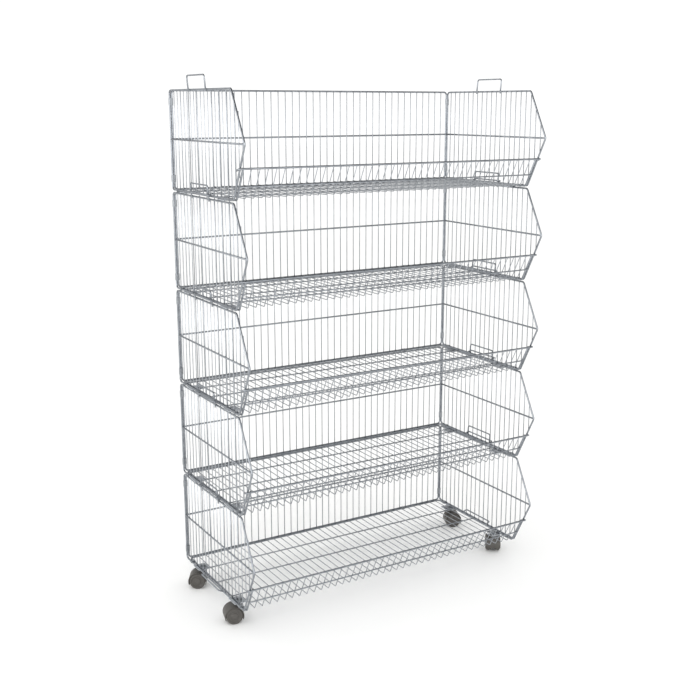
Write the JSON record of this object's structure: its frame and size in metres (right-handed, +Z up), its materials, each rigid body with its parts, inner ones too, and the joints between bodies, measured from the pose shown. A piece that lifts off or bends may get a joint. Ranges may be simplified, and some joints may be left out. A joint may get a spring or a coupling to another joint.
{
  "type": "stacking basket rack",
  "caption": "Tall rack of open-fronted welded wire baskets stacked on each other by side loops, on twin-wheel swivel castors, for showing loose goods.",
  "frame": {"origin": "on the floor, under the middle of the rack", "axes": "+X across the front to the right, +Y to the back, +Z up"},
  "size_m": [1.0556, 0.5048, 1.5672],
  "materials": {
    "zinc_wire": "bright zinc-plated drawn wire",
    "clip_steel": "zinc-plated pressed strip",
    "castor_steel": "zinc-plated turned steel",
    "castor_plastic": "moulded dark grey nylon, fine grain"
  },
  "bodies": {
    "basket_1": {"basket_1_base": "zinc_wire", "basket_1_left_side": "zinc_wire", "basket_1_right_side": "zinc_wire", "basket_1_back": "zinc_wire", "basket_1_clips": "clip_steel", "castor_rear_left_stem": "castor_steel", "castor_rear_left_nut": "castor_steel", "castor_rear_right_stem": "castor_steel", "castor_rear_right_nut": "castor_steel", "castor_front_left_stem": "castor_steel", "castor_front_left_nut": "castor_steel", "castor_front_right_stem": "castor_steel", "castor_front_right_nut": "castor_steel"},
    "basket_2": {"basket_2_base": "zinc_wire", "basket_2_left_side": "zinc_wire", "basket_2_right_side": "zinc_wire", "basket_2_back": "zinc_wire", "basket_2_clips": "clip_steel"},
    "basket_3": {"basket_3_base": "zinc_wire", "basket_3_left_side": "zinc_wire", "basket_3_right_side": "zinc_wire", "basket_3_back": "zinc_wire", "basket_3_clips": "clip_steel"},
    "basket_4": {"basket_4_base": "zinc_wire", "basket_4_left_side": "zinc_wire", "basket_4_right_side": "zinc_wire", "basket_4_back": "zinc_wire", "basket_4_clips": "clip_steel"},
    "basket_5": {"basket_5_base": "zinc_wire", "basket_5_left_side": "zinc_wire", "basket_5_right_side": "zinc_wire", "basket_5_back": "zinc_wire", "basket_5_clips": "clip_steel"},
    "castor_rear_left": {"castor_rear_left_hood": "castor_plastic", "castor_rear_left_axle": "castor_steel"},
    "castor_rear_left_left_wheel": {"castor_rear_left_left_wheel": "castor_plastic"},
    "castor_rear_left_right_wheel": {"castor_rear_left_right_wheel": "castor_plastic"},
    "castor_rear_right": {"castor_rear_right_hood": "castor_plastic", "castor_rear_right_axle": "castor_steel"},
    "castor_rear_right_left_wheel": {"castor_rear_right_left_wheel": "castor_plastic"},
    "castor_rear_right_right_wheel": {"castor_rear_right_right_wheel": "castor_plastic"},
    "castor_front_left": {"castor_front_left_hood": "castor_plastic", "castor_front_left_axle": "castor_steel"},
    "castor_front_left_left_wheel": {"castor_front_left_left_wheel": "castor_plastic"},
    "castor_front_left_right_wheel": {"castor_front_left_right_wheel": "castor_plastic"},
    "castor_front_right": {"castor_front_right_hood": "castor_plastic", "castor_front_right_axle": "castor_steel"},
    "castor_front_right_left_wheel": {"castor_front_right_left_wheel": "castor_plastic"},
    "castor_front_right_right_wheel": {"castor_front_right_right_wheel": "castor_plastic"}
  },
  "joints": [
    {"name": "basket_2_lift", "type": "slide", "parent": "basket_1", "child": "basket_2", "axis": [0, 0, 1], "range_m": [0, 0.06]},
    {"name": "basket_3_lift", "type": "slide", "parent": "basket_2", "child": "basket_3", "axis": [0, 0, 1], "range_m": [0, 0.06]},
    {"name": "basket_4_lift", "type": "slide", "parent": "basket_3", "child": "basket_4", "axis": [0, 0, 1], "range_m": [0, 0.06]},
    {"name": "basket_5_lift", "type": "slide", "parent": "basket_4", "child": "basket_5", "axis": [0, 0, 1], "range_m": [0, 0.06]},
    {"name": "castor_rear_left_swivel", "type": "hinge", "parent": "basket_1", "child": "castor_rear_left", "pos_m": [-0.47595, 0.16855, 0.046], "axis": [0, 0, 1], "continuous": true},
    {"name": "castor_rear_left_left_wheel_spin", "type": "hinge", "parent": "castor_rear_left", "child": "castor_rear_left_left_wheel", "pos_m": [-0.49154, 0.17755, 0.025], "axis": [-0.5, -0.866, 0], "continuous": true},
    {"name": "castor_rear_left_right_wheel_spin", "type": "hinge", "parent": "castor_rear_left", "child": "castor_rear_left_right_wheel", "pos_m": [-0.49154, 0.17755, 0.025], "axis": [-0.5, -0.866, 0], "continuous": true},
    {"name": "castor_rear_right_swivel", "type": "hinge", "parent": "basket_1", "child": "castor_rear_right", "pos_m": [0.47595, 0.16855, 0.046], "axis": [0, 0, 1], "continuous": true},
    {"name": "castor_rear_right_left_wheel_spin", "type": "hinge", "parent": "castor_rear_right", "child": "castor_rear_right_left_wheel", "pos_m": [0.49264, 0.1618, 0.025], "axis": [0.3746, 0.9272, 0], "continuous": true},
    {"name": "castor_rear_right_right_wheel_spin", "type": "hinge", "parent": "castor_rear_right", "child": "castor_rear_right_right_wheel", "pos_m": [0.49264, 0.1618, 0.025], "axis": [0.3746, 0.9272, 0], "continuous": true},
    {"name": "castor_front_left_swivel", "type": "hinge", "parent": "basket_1", "child": "castor_front_left", "pos_m": [-0.47595, -0.09595, 0.046], "axis": [0, 0, 1], "continuous": true},
    {"name": "castor_front_left_left_wheel_spin", "type": "hinge", "parent": "castor_front_left", "child": "castor_front_left_left_wheel", "pos_m": [-0.49334, -0.0913, 0.025], "axis": [-0.2588, -0.9659, 0], "continuous": true},
    {"name": "castor_front_left_right_wheel_spin", "type": "hinge", "parent": "castor_front_left", "child": "castor_front_left_right_wheel", "pos_m": [-0.49334, -0.0913, 0.025], "axis": [-0.2588, -0.9659, 0], "continuous": true},
    {"name": "castor_front_right_swivel", "type": "hinge", "parent": "basket_1", "child": "castor_front_right", "pos_m": [0.47595, -0.09595, 0.046], "axis": [0, 0, 1], "continuous": true},
    {"name": "castor_front_right_left_wheel_spin", "type": "hinge", "parent": "castor_front_right", "child": "castor_front_right_left_wheel", "pos_m": [0.48549, -0.08069, 0.025], "axis": [-0.848, 0.5299, 0], "continuous": true},
    {"name": "castor_front_right_right_wheel_spin", "type": "hinge", "parent": "castor_front_right", "child": "castor_front_right_right_wheel", "pos_m": [0.48549, -0.08069, 0.025], "axis": [-0.848, 0.5299, 0], "continuous": true}
  ]
}
